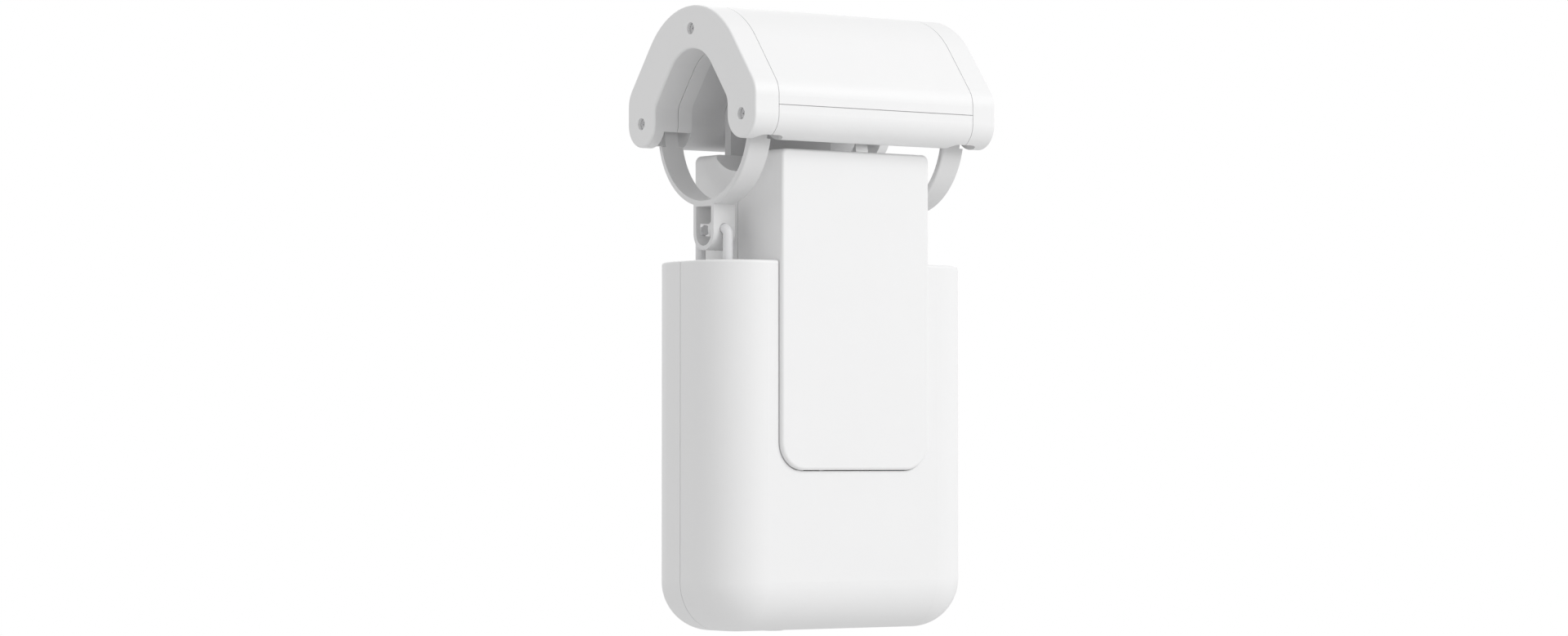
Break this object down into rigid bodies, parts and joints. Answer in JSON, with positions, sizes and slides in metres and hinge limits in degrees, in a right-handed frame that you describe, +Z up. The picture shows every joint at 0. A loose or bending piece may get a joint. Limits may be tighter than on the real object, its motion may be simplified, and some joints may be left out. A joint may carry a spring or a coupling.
{
  "type": "smart curtain robot",
  "caption": "Motorised robot that straddles a round curtain rod and rolls along it, with a sprung head, a drive wheel and towing rings.",
  "frame": {"origin": "on the rod's axis, half way along the head", "axes": "+X along the rod, -Y towards the front plate, +Z up"},
  "size_m": [0.0922, 0.0632, 0.1781],
  "materials": {
    "white_plastic": "fine satin moulding",
    "frame_plastic": "matte moulding",
    "ring_plastic": "satin moulding",
    "grommet_plastic": "matte grey moulding",
    "wire_steel": "drawn wire",
    "roller_rubber": "moulded rubber",
    "hub_plastic": "matte moulding",
    "gear_plastic": "acetal",
    "shaft_steel": "ground steel",
    "screw_steel": "plated screws",
    "motor_steel": "drawn can",
    "gearbox_plastic": "black moulding",
    "bearing_brass": "sintered",
    "board_laminate": "solder mask",
    "port_steel": "stamped shell",
    "switch_plastic": "moulded",
    "light_pipe": "clear pipe",
    "cell_wrap": "shrink sleeve"
  },
  "bodies": {
    "main_body": {"neck_front_cover": "white_plastic", "neck_rear_cover": "white_plastic", "body_front_shell": "white_plastic", "body_back_cover": "white_plastic", "housing_screws": "screw_steel", "gearbox_front_plate": "gearbox_plastic", "gearbox_rear_plate": "gearbox_plastic", "gearbox_screws": "screw_steel", "drive_bearings": "bearing_brass", "transfer_gear_pin": "shaft_steel", "gear_motor": "motor_steel", "circuit_board": "board_laminate", "charging_port": "port_steel", "button_switch": "switch_plastic", "status_light": "light_pipe", "bail_grommets": "grommet_plastic", "battery_cell_left": "cell_wrap", "battery_cell_right": "cell_wrap", "battery_holder_left": "frame_plastic", "battery_holder_right": "frame_plastic", "ring_bail_left": "wire_steel", "ring_bail_right": "wire_steel", "lift_spring_left": "shaft_steel", "lift_spring_right": "shaft_steel"},
    "head": {"head_top_cover": "white_plastic", "head_front_strip": "white_plastic", "head_rear_strip": "white_plastic", "head_frame": "frame_plastic", "end_cap_screws": "screw_steel", "rear_arm": "frame_plastic", "arm_screws": "screw_steel", "head_end_cap_left": "white_plastic", "head_end_cap_right": "white_plastic", "idler_axle_left": "shaft_steel", "idler_axle_right": "shaft_steel"},
    "drive_wheel": {"drive_wheel_hub": "hub_plastic", "drive_wheel_tyre": "roller_rubber", "drive_axle": "shaft_steel", "wheel_gear": "gear_plastic"},
    "transfer_gear": {"transfer_gear": "gear_plastic"},
    "motor_pinion": {"motor_pinion": "gear_plastic", "motor_shaft": "shaft_steel"},
    "idler_left": {"idler_tyre_left": "roller_rubber", "idler_bush_left": "hub_plastic"},
    "idler_right": {"idler_tyre_right": "roller_rubber", "idler_bush_right": "hub_plastic"},
    "ring_left": {"curtain_ring_left": "ring_plastic"},
    "ring_right": {"curtain_ring_right": "ring_plastic"},
    "button": {"control_button": "hub_plastic"}
  },
  "joints": [
    {"name": "head_lift", "type": "slide", "parent": "main_body", "child": "head", "axis": [0, 0, 1], "range_m": [0, 0.032], "stiffness_N_per_m": 150, "springref_m": -0.02, "deforming": ["lift_spring_left", "lift_spring_right"]},
    {"name": "drive_wheel_spin", "type": "hinge", "parent": "main_body", "child": "drive_wheel", "pos_m": [0, 0, -0.025], "axis": [0, 1, 0], "continuous": true},
    {"name": "transfer_gear_spin", "type": "hinge", "parent": "main_body", "child": "transfer_gear", "pos_m": [0, 0, -0.0458], "axis": [0, 1, 0], "continuous": true},
    {"name": "motor_pinion_spin", "type": "hinge", "parent": "main_body", "child": "motor_pinion", "pos_m": [0, 0, -0.0626], "axis": [0, 1, 0], "continuous": true},
    {"name": "idler_left_spin", "type": "hinge", "parent": "head", "child": "idler_left", "pos_m": [-0.016, 0, 0.0182], "axis": [0, 1, 0], "continuous": true},
    {"name": "idler_right_spin", "type": "hinge", "parent": "head", "child": "idler_right", "pos_m": [0.016, 0, 0.0182], "axis": [0, 1, 0], "continuous": true},
    {"name": "ring_left_tilt", "type": "hinge", "parent": "main_body", "child": "ring_left", "pos_m": [-0.0344, 0, -0.0325], "axis": [0, 1, 0], "range_deg": [-1, 1]},
    {"name": "ring_right_tilt", "type": "hinge", "parent": "main_body", "child": "ring_right", "pos_m": [0.0344, 0, -0.0325], "axis": [0, 1, 0], "range_deg": [-1, 1]},
    {"name": "control_button_press", "type": "slide", "parent": "main_body", "child": "button", "axis": [0, 0, 1], "range_m": [0, 0.0005], "stiffness_N_per_m": 400, "springref_m": -0.0005}
  ],
  "couplings": [
    {"joint": "transfer_gear_spin", "follows": "drive_wheel_spin", "ratio": -0.73333},
    {"joint": "motor_pinion_spin", "follows": "drive_wheel_spin", "ratio": 1.8333}
  ]
}
